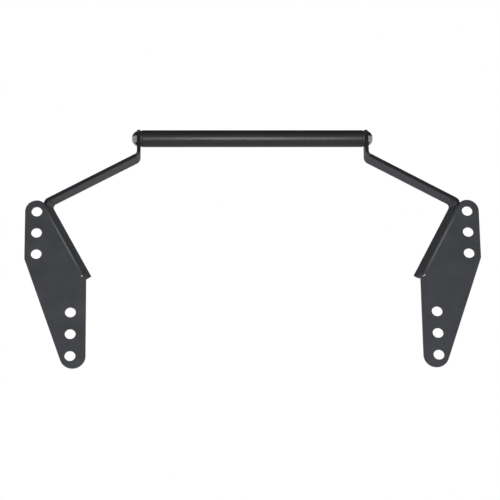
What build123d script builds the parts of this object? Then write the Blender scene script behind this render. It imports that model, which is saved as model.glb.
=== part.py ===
"""Pull-up bar: a round steel tube held between two bent sheet-steel brackets.

X runs along the tube, Y runs back towards the uprights, Z is up.
The origin is the middle of the tube, on its axis.
"""
from math import acos, atan2, cos, pi, radians, sin, tan
import os

from build123d import *

# Tube, end plugs and end bolts
TUBE_D = 38.0
TUBE_WALL = 3.0
TUBE_HALF = 246.5
TUBE_CHAMFER = 0.8
PLUG_FLANGE_D = 36.0
PLUG_FLANGE_T = 3.5
PLUG_DEPTH = 34.0
BOLT_D = 16.0
BOLT_REACH = 28.0
HEAD_D = 33.0
HEAD_H = 11.8
HEAD_RIM = 1.6
SOCKET_FLATS = 10.0
SOCKET_DEPTH = 5.5

# Bracket sheet and bends
SHEET = 8.0
BEND_R = 8.0
FLANGE_BEND_R = 4.0
SLANT = 28.0
FLANGE_TURN = 70.0
ARM_TURN = 96.5
STRAP_W = 47.0
STRAP_RISE = 37.8
BEND_TOP = -37.5
BEND_END = 144.0
TIP_AT = 20.0
TIP_DROP = 6.5
FAR_RISE = 1.5
TAB_R = 20.0
SWIVEL_GAP = 0.05
THREAD_GAP = 0.03

# Mounting plate: hole columns and outline
PLATE_Y = 46.0
HOLE_D = 24.0
PITCH = 50.0
UPPER_X, UPPER_Z = -481.0, -205.0
LOWER_X, LOWER_Z = -404.0, -441.0
TOP_R = 26.0
KNEE_Z = -266.0
KNEE_R = 2.0
FOOT_X, FOOT_Z, FOOT_R = -398.5, -490.5, 28.5
SHOULDER_Z = -312.0
FOLD_X = UPPER_X + 30.1
FOLD_Z = UPPER_Z + PITCH - 23.3
SHOULDER_R = 3.0
LIP_TURN = 45.0
RELIEF_W = 1.5

os.makedirs("parts", exist_ok=True)

tab_x = -(TUBE_HALF + PLUG_FLANGE_T)
bend_out = BEND_R + SHEET
fold_out = FLANGE_BEND_R + SHEET

# Directions of the left bracket: down the slanted fold, across it, and back
x_dir = Vector(1, 0, 0)
back = Vector(0, 1, 0)
down = Vector(sin(radians(SLANT)), 0, -cos(radians(SLANT)))
rise = down * -1
across = Vector(cos(radians(SLANT)), 0, sin(radians(SLANT)))
turn = radians(FLANGE_TURN)
strap_dir = across * cos(turn) + back * sin(turn)
flange_face = across * sin(turn) - back * cos(turn)
lean = radians(ARM_TURN)
arm_dir = rise * cos(lean) + flange_face * sin(lean)
arm_under = flange_face * cos(lean) - rise * sin(lean)

# Corner points where the flats meet the bends
fold = Vector(FOLD_X, PLATE_Y, FOLD_Z)
fold_axis = fold + back * fold_out
flange_at = fold_axis + flange_face * fold_out
elbow_axis = flange_at + rise * STRAP_RISE + flange_face * BEND_R
arm_at = elbow_axis - arm_under * BEND_R
tab_axis = arm_under.cross(x_dir).normalized()
tab_turn = acos(arm_under.dot(x_dir))
skew = (1 - arm_dir.dot(tab_axis) ** 2) ** 0.5
setback = bend_out * tan(tab_turn / 2) / skew
near_len = (tab_x - arm_at.X) / arm_dir.X - setback
far_at = arm_at + strap_dir * STRAP_W
far_len = (tab_x - far_at.X) / arm_dir.X - setback
tab_w = STRAP_W / skew
knuckle = arm_at + arm_dir * near_len - arm_under * bend_out
near_foot = knuckle + x_dir * bend_out
far_foot = near_foot - tab_axis * tab_w


def tangent_point(point, centre, radius, side):
    """Where a line from point touches a circle, on the side +1 or -1."""
    dx, dy = point[0] - centre[0], point[1] - centre[1]
    reach = (dx * dx + dy * dy) ** 0.5
    angle = atan2(dy, dx) + side * acos(radius / reach)
    return (centre[0] + radius * cos(angle), centre[1] + radius * sin(angle))


def on_fold(along):
    """A point of the plate's front face, measured down the fold."""
    point = fold + down * along
    return (point.X, point.Z)


def bend_sector(inner, outer, angle):
    """Cross-section of a bend: a ring sector that starts on the local X axis."""
    starts = [(inner, 0), (outer, 0)]
    mids = [(r * cos(angle / 2), r * sin(angle / 2)) for r in (inner, outer)]
    ends = [(r * cos(angle), r * sin(angle)) for r in (inner, outer)]
    edges = [
        Edge.make_line(starts[0], starts[1]),
        Edge.make_three_point_arc(starts[1], mids[1], ends[1]),
        Edge.make_line(ends[1], ends[0]),
        Edge.make_three_point_arc(ends[0], mids[0], starts[0]),
    ]
    return Face(Wire(edges))


# Outline of the plate, in X and Z
outer_x = UPPER_X - TOP_R
crown_z = UPPER_Z + PITCH
fold_far = (FOLD_X - UPPER_X) * across.X + (FOLD_Z - crown_z) * across.Z
lip_angle = radians(SLANT) + acos(fold_far / TOP_R)
lip_top = (UPPER_X + TOP_R * cos(lip_angle), crown_z + TOP_R * sin(lip_angle))
knee = (outer_x, KNEE_Z)
foot_touch = tangent_point(knee, (FOOT_X, FOOT_Z), FOOT_R, 1)
foot_angle = atan2(foot_touch[1] - FOOT_Z, foot_touch[0] - FOOT_X)
foot_mid = foot_angle / 2
inner_x = FOOT_X + FOOT_R
holes = [(UPPER_X, UPPER_Z + k * PITCH) for k in (-1, 0, 1)]
holes += [(LOWER_X, LOWER_Z + k * PITCH) for k in (-1, 0, 1)]

front = Plane(origin=(0, PLATE_Y, 0), x_dir=(1, 0, 0), z_dir=(0, -1, 0))
end_face = Plane(origin=(tab_x, 0, 0), x_dir=(0, 1, 0), z_dir=(1, 0, 0))

with BuildPart() as lip:
    # Round top of the plate, carried on into the start of the bend
    with BuildSketch(Plane(origin=fold_axis + down * BEND_TOP, x_dir=back * -1, z_dir=rise)):
        add(bend_sector(FLANGE_BEND_R, fold_out, radians(LIP_TURN)))
    extrude(amount=TOP_R)
    with BuildSketch(front):
        with Locations((UPPER_X, crown_z)):
            Circle(TOP_R)
    extrude(amount=-fold_out, mode=Mode.INTERSECT)

with BuildPart() as left_bracket:
    # Flat plate with its two columns of holes
    with BuildSketch(front) as plate:
        with BuildLine():
            Line(knee, (outer_x, crown_z))
            mid_angle = (pi + lip_angle) / 2
            ThreePointArc(
                (outer_x, crown_z),
                (UPPER_X + TOP_R * cos(mid_angle), crown_z + TOP_R * sin(mid_angle)),
                lip_top,
            )
            Polyline(
                lip_top,
                on_fold(BEND_END + RELIEF_W),
                (inner_x, SHOULDER_Z),
                (inner_x, FOOT_Z),
            )
            ThreePointArc(
                (inner_x, FOOT_Z),
                (FOOT_X + FOOT_R * cos(foot_mid), FOOT_Z + FOOT_R * sin(foot_mid)),
                foot_touch,
            )
            Line(foot_touch, knee)
        make_face()
        fillet(plate.vertices().sort_by_distance((outer_x, KNEE_Z, 0))[0], KNEE_R)
        fillet(plate.vertices().sort_by_distance((inner_x, SHOULDER_Z, 0))[0], SHOULDER_R)
        with Locations(*holes):
            Circle(HOLE_D / 2, mode=Mode.SUBTRACT)
    extrude(amount=-SHEET)
    # Bend that turns the flange back from the plate
    fold_end = fold_axis + down * BEND_END
    with BuildSketch(Plane(origin=fold_end, x_dir=back * -1, z_dir=rise)):
        add(bend_sector(FLANGE_BEND_R, fold_out, turn))
    extrude(amount=BEND_END - BEND_TOP)
    add(lip.part)
    # Flange with a trimmed lower end, running up into the strap
    with BuildSketch(Plane(origin=flange_at, x_dir=strap_dir, z_dir=flange_face)):
        with BuildLine():
            Polyline(
                (0, STRAP_RISE),
                (STRAP_W, STRAP_RISE),
                (STRAP_W, FAR_RISE - BEND_END),
                (TIP_AT, -TIP_DROP - BEND_END),
                (0, -BEND_END),
                close=True,
            )
        make_face()
    extrude(amount=-SHEET)
    # Elbow that turns the strap in over the opening
    with BuildSketch(Plane(origin=elbow_axis, x_dir=flange_face * -1, z_dir=strap_dir)):
        add(bend_sector(BEND_R, bend_out, lean))
    extrude(amount=STRAP_W)
    # Arm, cut square to the tab's bend
    with BuildSketch(Plane(origin=arm_at, x_dir=arm_dir, z_dir=arm_under * -1)):
        with BuildLine():
            Polyline((0, 0), (near_len, 0), (far_len, STRAP_W), (0, STRAP_W), close=True)
        make_face()
    extrude(amount=SHEET)
    # Bend up into the tab
    with BuildSketch(Plane(origin=knuckle, x_dir=arm_under, z_dir=tab_axis)):
        add(bend_sector(BEND_R, bend_out, tab_turn))
    extrude(amount=-tab_w)
    # Tab, narrowing to a round end about the tube's axis
    with BuildSketch(end_face):
        near = (near_foot.Y, near_foot.Z)
        far = (far_foot.Y, far_foot.Z)
        near_touch = tangent_point(near, (0, 0), TAB_R, -1)
        far_touch = tangent_point(far, (0, 0), TAB_R, 1)
        with BuildLine():
            Line(near, near_touch)
            ThreePointArc(near_touch, (0, TAB_R), far_touch)
            Polyline(far_touch, far, near)
        make_face()
        Circle(BOLT_D / 2 + SWIVEL_GAP, mode=Mode.SUBTRACT)
    extrude(amount=-SHEET)
left_bracket.part.label = "left_bracket"
export_step(left_bracket.part, "parts/left_bracket.step")

with BuildPart() as right_bracket:
    add(left_bracket.part.mirror(Plane.YZ))
right_bracket.part.label = "right_bracket"
export_step(right_bracket.part, "parts/right_bracket.step")

with BuildPart() as grip_tube:
    with BuildSketch(Plane(origin=(-TUBE_HALF, 0, 0), x_dir=(0, 1, 0), z_dir=(1, 0, 0))):
        Circle(TUBE_D / 2)
        Circle(TUBE_D / 2 - TUBE_WALL, mode=Mode.SUBTRACT)
    extrude(amount=2 * TUBE_HALF)
    rims = grip_tube.edges().filter_by(GeomType.CIRCLE)
    chamfer(rims.filter_by(lambda edge: edge.radius > TUBE_D / 2 - 1), TUBE_CHAMFER)
grip_tube.part.label = "grip_tube"
export_step(grip_tube.part, "parts/grip_tube.step")

with BuildPart() as left_end_plug:
    with BuildSketch(end_face):
        Circle(PLUG_FLANGE_D / 2)
        Circle(BOLT_D / 2 + THREAD_GAP, mode=Mode.SUBTRACT)
    extrude(amount=PLUG_FLANGE_T)
    with BuildSketch(end_face.offset(PLUG_FLANGE_T)):
        Circle(TUBE_D / 2 - TUBE_WALL)
        Circle(BOLT_D / 2 + THREAD_GAP, mode=Mode.SUBTRACT)
    extrude(amount=PLUG_DEPTH - PLUG_FLANGE_T)
left_end_plug.part.label = "left_end_plug"
export_step(left_end_plug.part, "parts/left_end_plug.step")

with BuildPart() as right_end_plug:
    add(left_end_plug.part.mirror(Plane.YZ))
right_end_plug.part.label = "right_end_plug"
export_step(right_end_plug.part, "parts/right_end_plug.step")

with BuildPart() as left_end_bolt:
    # Dome head: half profile turned about the tube's axis
    seat = tab_x - SHEET
    dome_r = ((HEAD_D / 2) ** 2 + (HEAD_H - HEAD_RIM) ** 2) / (2 * (HEAD_H - HEAD_RIM))
    dome_mid = HEAD_D / 4
    dome_h = (dome_r**2 - dome_mid**2) ** 0.5 - (dome_r - HEAD_H + HEAD_RIM) + HEAD_RIM
    with BuildSketch(Plane.XY):
        with BuildLine():
            Polyline((seat - HEAD_H, 0), (tab_x + BOLT_REACH, 0), (tab_x + BOLT_REACH, BOLT_D / 2))
            Polyline(
                (tab_x + BOLT_REACH, BOLT_D / 2),
                (seat, BOLT_D / 2),
                (seat, HEAD_D / 2),
                (seat - HEAD_RIM, HEAD_D / 2),
            )
            ThreePointArc(
                (seat - HEAD_RIM, HEAD_D / 2),
                (seat - dome_h, dome_mid),
                (seat - HEAD_H, 0),
            )
        make_face()
    revolve(axis=Axis.X)
    with BuildSketch(Plane(origin=(seat - HEAD_H, 0, 0), x_dir=(0, 1, 0), z_dir=(1, 0, 0))):
        RegularPolygon(SOCKET_FLATS / 2, 6, major_radius=False)
    extrude(amount=SOCKET_DEPTH, mode=Mode.SUBTRACT)
left_end_bolt.part.label = "left_end_bolt"
export_step(left_end_bolt.part, "parts/left_end_bolt.step")

with BuildPart() as right_end_bolt:
    add(left_end_bolt.part.mirror(Plane.YZ))
right_end_bolt.part.label = "right_end_bolt"
export_step(right_end_bolt.part, "parts/right_end_bolt.step")
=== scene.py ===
"""Dresses the pull-up bar: coats, metals and softened edges, with a plain studio stage."""

from math import cos, radians, sin

import bpy
from mathutils import Euler, Matrix, Vector

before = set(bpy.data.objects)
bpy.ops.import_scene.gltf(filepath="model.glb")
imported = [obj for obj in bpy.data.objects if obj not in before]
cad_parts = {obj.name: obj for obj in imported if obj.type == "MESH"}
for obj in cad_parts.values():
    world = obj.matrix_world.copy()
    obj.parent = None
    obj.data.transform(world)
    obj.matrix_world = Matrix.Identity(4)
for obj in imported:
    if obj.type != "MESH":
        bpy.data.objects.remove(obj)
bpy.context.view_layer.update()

bl_info = {
    "name": "Pull-up bar finish",
    "version": (1, 0, 0),
    "blender": (4, 5, 0),
    "location": "View3D > Sidebar > Pull-up bar",
    "description": "Finishes the bent brackets, grip tube and end bolts of a pull-up bar",
    "category": "Object",
}

BRACKETS = ("left_bracket", "right_bracket")
TUBES = ("grip_tube",)
PLUGS = ("left_end_plug", "right_end_plug")
BOLTS = ("left_end_bolt", "right_end_bolt")

# The right bracket's sheet in metres and radians, which the left one mirrors
FOLD_START = Vector((0.4509, 0.046, -0.1783))
FOLD_SLANT = radians(28.0)
FOLD_OUTER_R = 0.012
FLANGE_TURN = radians(70.0)
STRAP_WIDTH = 0.047
TAB_X = 0.254
TAB_R = 0.020
TAB_FRONT_LEAN = radians(-7.53)
TAB_BACK_LEAN = radians(6.62)

# Painted highlight stripe on the fold's outside: its place from the fold's start, half sizes and soft
# borders in metres
HIGHLIGHT_ASIDE = 0.0042
HIGHLIGHT_DOWN = 0.062
HIGHLIGHT_HALF_WIDTH = 0.0018
HIGHLIGHT_WIDTH_SOFT = 0.0014
HIGHLIGHT_HALF_LENGTH = 0.060
HIGHLIGHT_LENGTH_SOFT = 0.045
HIGHLIGHT_DEPTH = 0.003
HIGHLIGHT_DEPTH_SOFT = 0.001

# Painted shade on the cut edges: how deep the darker band reaches, and how far it reaches along the tube
# on the tab
EDGE_DEPTH = 0.0009
EDGE_SOFT = 0.0004
TAB_HALF_REACH = 0.0055
TAB_REACH_SOFT = 0.0005

# Noise values mostly lie between these two
NOISE_LOW = 0.3
NOISE_HIGH = 0.7

# Modifiers that round a CAD node's sharp edges, in metres and radians
WELD_GAP = 0.00001
FLAT_ANGLE = radians(0.2)
SHARP_ANGLE = radians(35.0)
ROUNDING_STEPS = 2

# Floor and lamps: sizes and places in metres, and how bright the floor looks where one is white
FLOOR_SIZE = 40.0
FLOOR_SEEN = 0.55
AIM = Vector((0.0, 0.0, -0.2))
KEY_AWAY = 3.2
KEY_SIZE = 0.7
SHEEN_AWAY = 1.3
SHEEN_ASIDE = Vector((0.05, 0.0, 0.0))
SHEEN_WIDTH = 0.3
SHEEN_HEIGHT = 0.35

# Surroundings: brightness where one is white, and the Y or Z part of the directions it changes at
SKY_FRONT = 0.06
SKY_BACK = 1.4
SKY_BACK_Y = 0.6
WALL_TOP_Z = 0.44
CEILING_Z = 0.48
CEILING_LIGHT = 0.05

# Camera: its sensor in millimetres, and how far it sees in metres
SENSOR_WIDTH_MM = 36.0
CAMERA_REACH = 200.0


def colour_property(name, description, default):
    """A colour that a user can pick."""
    return bpy.props.FloatVectorProperty(
        name=name, description=description, default=default, subtype="COLOR", size=3, min=0.0, max=1.0
    )


def length_property(name, description, default):
    """A length in metres."""
    return bpy.props.FloatProperty(
        name=name, description=description, default=default, unit="LENGTH", subtype="DISTANCE", precision=5
    )


def angle_property(name, description, degrees):
    """An angle, given in degrees."""
    return bpy.props.FloatProperty(
        name=name, description=description, default=radians(degrees), subtype="ANGLE"
    )


def amount_property(name, description, default, least=0.0, unit="NONE"):
    """A number that doesn't go below its least value."""
    return bpy.props.FloatProperty(
        name=name, description=description, default=default, min=least, unit=unit
    )


class BracketFinish(bpy.types.PropertyGroup):
    """Powder coat of the bent brackets."""

    dark: colour_property("Dark grain", "Darker grain of the powder coat", (0.0260, 0.0267, 0.0297))
    light: colour_property("Light grain", "Lighter grain of the powder coat", (0.0415, 0.0426, 0.0470))
    # The fold colour is a painted highlight: a pale stripe that stands in for the light caught by the
    # fold's convex outside
    painted_fold_highlight: colour_property("Rubbed fold", "Coat rubbed pale on the fold's outside", (0.088, 0.090, 0.094))
    # The edge colour is painted shade: a darker band that stands in for the shade on the sheet's cut edges
    cut: colour_property("Cut edge", "Thin coat on the sheet's cut edges", (0.0125, 0.0130, 0.0145))
    grain: amount_property("Grain", "Grains per metre", 1400.0, least=1.0)
    edge: length_property("Edge rounding", "Width of the softened sheet edge", EDGE_DEPTH)


class TubeFinish(bpy.types.PropertyGroup):
    """Satin coat of the grip tube."""

    dark: colour_property("Dark", "Deep tone of the satin coat", (0.0115, 0.0116, 0.0122))
    light: colour_property("Light", "Rubbed tone of the satin coat", (0.0165, 0.0166, 0.0174))
    streaks: amount_property("Streaks", "Polishing streaks per metre round the tube", 420.0, least=1.0)
    edge: length_property("Edge rounding", "Width of the softened tube edge", 0.0004)


class BoltFinish(bpy.types.PropertyGroup):
    """Bright metal of the end bolts and dark metal of the end plugs."""

    bright: colour_property("Bright", "Polished tone of the bolts", (0.29, 0.285, 0.265))
    dull: colour_property("Dull", "Turned tone of the bolts", (0.20, 0.195, 0.18))
    plug: colour_property("Plug", "Blackened tone of the end plugs", (0.012, 0.012, 0.013))
    edge: length_property("Edge rounding", "Width of the softened bolt edge", 0.0004)


class StageSettings(bpy.types.PropertyGroup):
    """Floor, light and camera."""

    floor_colour: colour_property("Floor", "Colour of the floor", (0.86, 0.86, 0.86))
    floor_drop: length_property("Floor drop", "Depth of the floor below the tube's axis", 3.4)
    floor_glow: amount_property("Floor glow", "Light that the floor throws up", 0.25)
    key_power: amount_property("Key light", "Power of the far front light", 129.0, unit="POWER")
    sheen_power: amount_property("Sheen light", "Power of the near light on gloss", 22.0, unit="POWER")
    eye: bpy.props.FloatVectorProperty(
        name="Camera place",
        description="Where the camera stands",
        default=(-0.2038, -4.9726, -2.0263),
        subtype="XYZ",
    )
    lift: angle_property("Camera rise", "Angle the camera looks up", 19.5)
    swing: angle_property("Camera swing", "Angle the camera looks to the right", 2.24)
    tilt: angle_property("Camera tilt", "Angle the camera leans over to its left", -0.87)
    lens: amount_property("Lens", "Focal length in millimetres", 172.8, least=1.0)


def new_material(name):
    """A node material with its node tree, Principled shader and Object coordinates."""
    material = bpy.data.materials.new(name)
    material.use_nodes = True
    tree = material.node_tree
    where = tree.nodes.new("ShaderNodeTexCoord")
    return material, tree, tree.nodes["Principled BSDF"], where.outputs["Object"]


def noise(tree, place, scale, detail, stretch=(1.0, 1.0, 1.0)):
    """A noise texture, stretched along the axes."""
    mapping = tree.nodes.new("ShaderNodeMapping")
    mapping.inputs["Scale"].default_value = stretch
    texture = tree.nodes.new("ShaderNodeTexNoise")
    texture.inputs["Scale"].default_value = scale
    texture.inputs["Detail"].default_value = detail
    tree.links.new(place, mapping.inputs["Vector"])
    tree.links.new(mapping.outputs["Vector"], texture.inputs["Vector"])
    return texture.outputs["Fac"]


def rescale(tree, value, start, end, low, high, blend="LINEAR"):
    """A value that runs from low to high while another runs from start to end."""
    span = tree.nodes.new("ShaderNodeMapRange")
    span.interpolation_type = blend
    span.inputs["From Min"].default_value = start
    span.inputs["From Max"].default_value = end
    span.inputs["To Min"].default_value = low
    span.inputs["To Max"].default_value = high
    tree.links.new(value, span.inputs["Value"])
    return span.outputs["Result"]


def spread(tree, value, low, high):
    """A noise value, spread between two numbers."""
    return rescale(tree, value, NOISE_LOW, NOISE_HIGH, low, high)


def two_tone(tree, value, dark, light):
    """A colour that runs between two tones with a noise value."""
    ramp = tree.nodes.new("ShaderNodeValToRGB")
    first, last = ramp.color_ramp.elements
    first.position, last.position = NOISE_LOW, NOISE_HIGH
    first.color, last.color = (*dark, 1.0), (*light, 1.0)
    tree.links.new(value, ramp.inputs["Fac"])
    return ramp.outputs["Color"]


def paler(colour, times):
    """A colour made a number of times brighter."""
    return tuple(min(1.0, times * part) for part in colour)


def paint_over(tree, base, colour, mask):
    """A base colour, with another one laid over it where the mask is one."""
    painted = tree.nodes.new("ShaderNodeMix")
    painted.data_type = "RGBA"
    painted.inputs["B"].default_value = (*colour, 1.0)
    tree.links.new(mask, painted.inputs["Factor"])
    tree.links.new(base, painted.inputs["A"])
    return painted.outputs["Result"]


def bump(tree, height, strength, distance):
    """A fine surface relief."""
    relief = tree.nodes.new("ShaderNodeBump")
    relief.inputs["Strength"].default_value = strength
    relief.inputs["Distance"].default_value = distance
    tree.links.new(height, relief.inputs["Height"])
    return relief.outputs["Normal"]


def combine(tree, operation, first, second):
    """Two values joined by a math operation."""
    joined = tree.nodes.new("ShaderNodeMath")
    joined.operation = operation
    tree.links.new(first, joined.inputs[0])
    tree.links.new(second, joined.inputs[1])
    return joined.outputs["Value"]


def size_of(tree, value):
    """A value without its sign."""
    size = tree.nodes.new("ShaderNodeMath")
    size.operation = "ABSOLUTE"
    tree.links.new(value, size.inputs[0])
    return size.outputs["Value"]


def band(tree, place, across, middle, half, soft):
    """One within a half width of the middle along a direction, fading to zero outside."""
    along = tree.nodes.new("ShaderNodeVectorMath")
    along.operation = "DOT_PRODUCT"
    along.inputs[1].default_value = across
    tree.links.new(place, along.inputs[0])
    off = tree.nodes.new("ShaderNodeMath")
    off.operation = "SUBTRACT"
    off.inputs[1].default_value = middle
    tree.links.new(along.outputs["Value"], off.inputs[0])
    distance = size_of(tree, off.outputs["Value"])
    return rescale(tree, distance, half - soft, half + soft, 1.0, 0.0, blend="SMOOTHSTEP")


def mirrored(tree, place):
    """Places with the left bracket laid over the right one."""
    split = tree.nodes.new("ShaderNodeSeparateXYZ")
    tree.links.new(place, split.inputs["Vector"])
    spot = tree.nodes.new("ShaderNodeCombineXYZ")
    tree.links.new(size_of(tree, split.outputs["X"]), spot.inputs["X"])
    tree.links.new(split.outputs["Y"], spot.inputs["Y"])
    tree.links.new(split.outputs["Z"], spot.inputs["Z"])
    return spot.outputs["Vector"]


def fold_highlight_mask(tree, spot):
    """Where a highlight is painted: a narrow pale stripe on the outside of each bracket's fold."""
    across = Vector((-cos(FOLD_SLANT), 0.0, sin(FOLD_SLANT)))
    down = Vector((-sin(FOLD_SLANT), 0.0, -cos(FOLD_SLANT)))
    aside = FOLD_START.dot(across) + HIGHLIGHT_ASIDE
    below = FOLD_START.dot(down) + HIGHLIGHT_DOWN
    stripe = band(tree, spot, across, aside, HIGHLIGHT_HALF_WIDTH, HIGHLIGHT_WIDTH_SOFT)
    length = band(tree, spot, down, below, HIGHLIGHT_HALF_LENGTH, HIGHLIGHT_LENGTH_SOFT)
    front = band(tree, spot, (0.0, 1.0, 0.0), FOLD_START.y, HIGHLIGHT_DEPTH, HIGHLIGHT_DEPTH_SOFT)
    return combine(tree, "MULTIPLY", combine(tree, "MULTIPLY", stripe, length), front)


def edge_shade_mask(tree, spot):
    """Where shade is painted: a darker band on the sheet's cut edges along the strap, and on both sides of
    the tab at its end.
    """
    across = Vector((
        cos(FLANGE_TURN) * cos(FOLD_SLANT),
        -sin(FLANGE_TURN),
        -cos(FLANGE_TURN) * sin(FOLD_SLANT),
    ))
    front = FOLD_START.dot(across) - FOLD_OUTER_R * sin(FLANGE_TURN)
    strap_edges = [
        band(tree, spot, across, middle, EDGE_DEPTH, EDGE_SOFT)
        for middle in (front, front - STRAP_WIDTH)
    ]
    tab_edges = [
        band(tree, spot, (0.0, cos(lean), sin(lean)), middle, EDGE_DEPTH, EDGE_SOFT)
        for lean, middle in ((TAB_FRONT_LEAN, -TAB_R), (TAB_BACK_LEAN, TAB_R))
    ]
    tab = band(tree, spot, (1.0, 0.0, 0.0), TAB_X, TAB_HALF_REACH, TAB_REACH_SOFT)
    strap = combine(tree, "MAXIMUM", *strap_edges)
    sides = combine(tree, "MULTIPLY", combine(tree, "MAXIMUM", *tab_edges), tab)
    return combine(tree, "MAXIMUM", strap, sides)


def soften(node, width):
    """Smooth shading, with a narrow rounding on the sharp edges of a CAD node."""
    bpy.ops.object.select_all(action="DESELECT")
    node.select_set(True)
    bpy.context.view_layer.objects.active = node
    bpy.ops.mesh.customdata_custom_splitnormals_clear()
    bpy.ops.object.shade_smooth()
    weld = node.modifiers.new("join", "WELD")
    weld.merge_threshold = WELD_GAP
    merge = node.modifiers.new("merge", "DECIMATE")
    merge.decimate_type = "DISSOLVE"
    merge.angle_limit = FLAT_ANGLE
    rounding = node.modifiers.new("edge", "BEVEL")
    rounding.width = width
    rounding.segments = ROUNDING_STEPS
    rounding.limit_method = "ANGLE"
    rounding.angle_limit = SHARP_ANGLE
    rounding.use_clamp_overlap = False
    rounding.loop_slide = False
    rounding.harden_normals = True


def dress(names, material, width):
    """Gives CAD nodes a material and softened edges."""
    for name in names:
        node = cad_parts[name]
        node.data.materials.clear()
        node.data.materials.append(material)
        soften(node, width)


class PULLUP_OT_brackets(bpy.types.Operator):
    """Fine-textured charcoal powder coat on both bent brackets"""

    bl_idname = "pullup.brackets"
    bl_label = "Finish brackets"

    def execute(self, context):
        look = context.scene.pullup_bracket
        material, tree, shader, place = new_material("bracket_powder_coat")
        links = tree.links
        grain = noise(tree, place, scale=look.grain, detail=3.0)
        cloud = noise(tree, place, scale=22.0, detail=4.0)
        mottle = tree.nodes.new("ShaderNodeMix")
        mottle.inputs["Factor"].default_value = 0.45
        links.new(grain, mottle.inputs["A"])
        links.new(cloud, mottle.inputs["B"])
        spot = mirrored(tree, place)
        coat = two_tone(tree, mottle.outputs["Result"], look.dark, look.light)
        # Painted highlight: a pale stripe along the outside of each fold
        highlighted = paint_over(tree, coat, look.painted_fold_highlight, fold_highlight_mask(tree, spot))
        # Painted shade: a darker band along the cut edges of the strap and the tab
        edge_shaded = paint_over(tree, highlighted, look.cut, edge_shade_mask(tree, spot))
        links.new(edge_shaded, shader.inputs["Base Color"])
        links.new(spread(tree, cloud, low=0.38, high=0.46), shader.inputs["Roughness"])
        links.new(bump(tree, grain, strength=0.05, distance=0.0002), shader.inputs["Normal"])
        shader.inputs["Specular IOR Level"].default_value = 0.03
        shader.inputs["Specular Tint"].default_value = (0.90, 0.97, 1.0, 1.0)
        dress(BRACKETS, material, look.edge)
        return {"FINISHED"}


class PULLUP_OT_tube(bpy.types.Operator):
    """Satin black coat on the grip tube, with faint streaks along it"""

    bl_idname = "pullup.tube"
    bl_label = "Finish tube"

    def execute(self, context):
        look = context.scene.pullup_tube
        material, tree, shader, place = new_material("tube_satin_coat")
        links = tree.links
        streak = noise(tree, place, scale=look.streaks, detail=3.0, stretch=(0.03, 1.0, 1.0))
        cloud = noise(tree, place, scale=14.0, detail=3.0)
        links.new(two_tone(tree, streak, look.dark, look.light), shader.inputs["Base Color"])
        links.new(spread(tree, cloud, low=0.33, high=0.38), shader.inputs["Roughness"])
        links.new(bump(tree, streak, strength=0.08, distance=0.0001), shader.inputs["Normal"])
        shader.inputs["Specular IOR Level"].default_value = 0.145
        dress(TUBES, material, look.edge)
        return {"FINISHED"}


class PULLUP_OT_bolts(bpy.types.Operator):
    """Turned and polished bright metal on the dome-head end bolts"""

    bl_idname = "pullup.bolts"
    bl_label = "Finish end bolts"

    def execute(self, context):
        look = context.scene.pullup_bolt
        material, tree, shader, place = new_material("bolt_bright_metal")
        links = tree.links
        rings = tree.nodes.new("ShaderNodeTexWave")
        rings.wave_type = "RINGS"
        rings.rings_direction = "X"
        rings.inputs["Scale"].default_value = 420.0
        rings.inputs["Distortion"].default_value = 1.2
        rings.inputs["Detail"].default_value = 2.0
        links.new(place, rings.inputs["Vector"])
        turned = bump(tree, rings.outputs["Fac"], strength=0.06, distance=0.0001)
        cloud = noise(tree, place, scale=160.0, detail=4.0)
        links.new(two_tone(tree, cloud, look.dull, look.bright), shader.inputs["Base Color"])
        links.new(spread(tree, cloud, low=0.16, high=0.26), shader.inputs["Roughness"])
        links.new(turned, shader.inputs["Normal"])
        shader.inputs["Metallic"].default_value = 1.0
        dress(BOLTS, material, look.edge)
        return {"FINISHED"}


class PULLUP_OT_plugs(bpy.types.Operator):
    """Blackened steel on the end plugs inside the tube"""

    bl_idname = "pullup.plugs"
    bl_label = "Finish end plugs"

    def execute(self, context):
        look = context.scene.pullup_bolt
        material, tree, shader, place = new_material("plug_black_steel")
        links = tree.links
        cloud = noise(tree, place, scale=240.0, detail=4.0)
        pale = paler(look.plug, times=1.6)
        links.new(two_tone(tree, cloud, look.plug, pale), shader.inputs["Base Color"])
        links.new(spread(tree, cloud, low=0.45, high=0.6), shader.inputs["Roughness"])
        links.new(bump(tree, cloud, strength=0.1, distance=0.0001), shader.inputs["Normal"])
        shader.inputs["Specular IOR Level"].default_value = 0.3
        dress(PLUGS, material, look.edge)
        return {"FINISHED"}


def looked_at(tree):
    """One for rays that show the surroundings: straight, in a reflection or through glass."""
    rays = tree.nodes.new("ShaderNodeLightPath").outputs
    seen = combine(tree, "MAXIMUM", rays["Is Camera Ray"], rays["Is Glossy Ray"])
    return combine(tree, "MAXIMUM", seen, rays["Is Transmission Ray"])


def background(tree, colour, strength):
    """Surroundings of one colour, as bright as a value says."""
    glow = tree.nodes.new("ShaderNodeBackground")
    glow.inputs["Color"].default_value = (*colour, 1.0)
    tree.links.new(strength, glow.inputs["Strength"])
    return glow.outputs["Background"]


def add_area_light(name, place, width, height, power):
    """A soft lamp that points at the part and isn't seen itself."""
    bpy.ops.object.light_add(type="AREA", location=place)
    lamp = bpy.context.object
    lamp.name = name
    lamp.data.shape = "RECTANGLE"
    lamp.data.size = width
    lamp.data.size_y = height
    lamp.data.energy = power
    lamp.visible_camera = False
    lamp.rotation_euler = (AIM - lamp.location).to_track_quat("-Z", "Y").to_euler()
    return lamp


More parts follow.
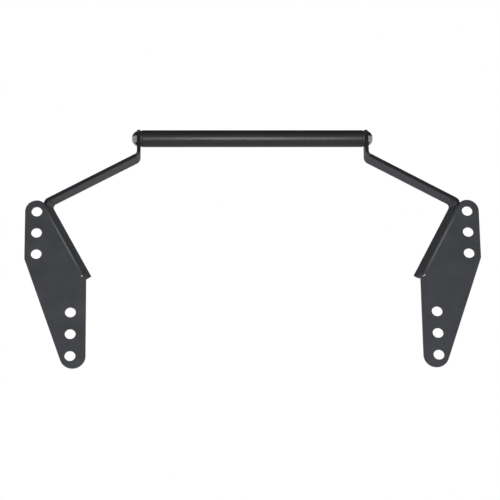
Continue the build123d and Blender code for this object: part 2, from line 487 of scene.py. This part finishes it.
class PULLUP_OT_stage(bpy.types.Operator):
    """Pale floor, soft studio light and the camera"""

    bl_idname = "pullup.stage"
    bl_label = "Set the stage"

    def execute(self, context):
        look = context.scene.pullup_stage
        self.lay_floor(context, look)
        self.light_room(context)
        self.hang_lamps(look)
        self.place_camera(context, look)
        context.scene.view_settings.view_transform = "Standard"
        return {"FINISHED"}

    def lay_floor(self, context, look):
        """A pale floor far below, which throws some light up."""
        bpy.ops.object.select_all(action="DESELECT")
        bpy.ops.mesh.primitive_plane_add(size=FLOOR_SIZE, location=(0.0, 0.0, -look.floor_drop))
        floor = context.object
        floor.name = "floor"
        material, tree, shader, place = new_material("floor_paint")
        cloud = noise(tree, place, scale=3.0, detail=2.0)
        pale = paler(look.floor_colour, times=1.03)
        glow = rescale(tree, looked_at(tree), 0.0, 1.0, look.floor_glow, FLOOR_SEEN)
        tree.links.new(two_tone(tree, cloud, look.floor_colour, pale), shader.inputs["Base Color"])
        tree.links.new(glow, shader.inputs["Emission Strength"])
        shader.inputs["Emission Color"].default_value = (1.0, 1.0, 1.0, 1.0)
        shader.inputs["Roughness"].default_value = 0.9
        floor.data.materials.append(material)

    def light_room(self, context):
        """Soft light mostly from behind, and white walls that end at a dark ceiling in reflections."""
        world = bpy.data.worlds.new("studio")
        world.use_nodes = True
        context.scene.world = world
        tree = world.node_tree
        tree.nodes.clear()
        where = tree.nodes.new("ShaderNodeTexCoord")
        split = tree.nodes.new("ShaderNodeSeparateXYZ")
        tree.links.new(where.outputs["Generated"], split.inputs["Vector"])
        sky = rescale(tree, split.outputs["Y"], 0.0, SKY_BACK_Y, SKY_FRONT, SKY_BACK)
        wall = rescale(tree, split.outputs["Z"], WALL_TOP_Z, CEILING_Z, 1.0, CEILING_LIGHT)
        straight = tree.nodes.new("ShaderNodeLightPath").outputs["Is Camera Ray"]
        soft = background(tree, (0.97, 0.99, 1.0), sky)
        white = background(tree, (1.0, 1.0, 1.0), combine(tree, "MAXIMUM", wall, straight))
        mix = tree.nodes.new("ShaderNodeMixShader")
        out = tree.nodes.new("ShaderNodeOutputWorld")
        tree.links.new(looked_at(tree), mix.inputs["Fac"])
        tree.links.new(soft, mix.inputs[1])
        tree.links.new(white, mix.inputs[2])
        tree.links.new(mix.outputs["Shader"], out.inputs["Surface"])

    def hang_lamps(self, look):
        """A far lamp that lights the coats, and a near one that shows only as gloss."""
        towards = Vector((0.0, -cos(look.lift), -sin(look.lift)))
        key = add_area_light("front_light", KEY_AWAY * towards, KEY_SIZE, KEY_SIZE, look.key_power)
        key.visible_glossy = False
        near = SHEEN_AWAY * towards + SHEEN_ASIDE
        sheen = add_area_light("sheen_light", near, SHEEN_WIDTH, SHEEN_HEIGHT, look.sheen_power)
        sheen.visible_diffuse = False

    def place_camera(self, context, look):
        """The photograph's low front view, with the tube high in the frame."""
        bpy.ops.object.camera_add(location=look.eye)
        camera = context.object
        aim = Euler((radians(90.0) + look.lift, 0.0, -look.swing)).to_matrix()
        camera.rotation_euler = (aim @ Matrix.Rotation(look.tilt, 3, "Z")).to_euler()
        camera.name = "camera"
        camera.data.lens = look.lens
        camera.data.sensor_width = SENSOR_WIDTH_MM
        camera.data.clip_end = CAMERA_REACH
        context.scene.camera = camera


class PULLUP_PT_sidebar(bpy.types.Panel):
    """Lists the finishing steps"""

    bl_label = "Pull-up bar"
    bl_idname = "PULLUP_PT_sidebar"
    bl_space_type = "VIEW_3D"
    bl_region_type = "UI"
    bl_category = "Pull-up bar"

    def draw(self, context):
        for step in STEPS:
            self.layout.operator(step.bl_idname)


STEPS = (PULLUP_OT_brackets, PULLUP_OT_tube, PULLUP_OT_plugs, PULLUP_OT_bolts, PULLUP_OT_stage)
GROUPS = {
    "pullup_bracket": BracketFinish,
    "pullup_tube": TubeFinish,
    "pullup_bolt": BoltFinish,
    "pullup_stage": StageSettings,
}


def register():
    """Registers the classes and their settings."""
    for cls in (*GROUPS.values(), *STEPS, PULLUP_PT_sidebar):
        bpy.utils.register_class(cls)
    for name, group in GROUPS.items():
        setattr(bpy.types.Scene, name, bpy.props.PointerProperty(type=group))


def unregister():
    """Removes the classes and their settings."""
    for name in GROUPS:
        delattr(bpy.types.Scene, name)
    for cls in (PULLUP_PT_sidebar, *reversed(STEPS), *GROUPS.values()):
        bpy.utils.unregister_class(cls)


def main():
    """Registers the classes and runs every step."""
    register()
    bpy.ops.pullup.brackets()
    bpy.ops.pullup.tube()
    bpy.ops.pullup.plugs()
    bpy.ops.pullup.bolts()
    bpy.ops.pullup.stage()


if __name__ == "__main__":
    main()
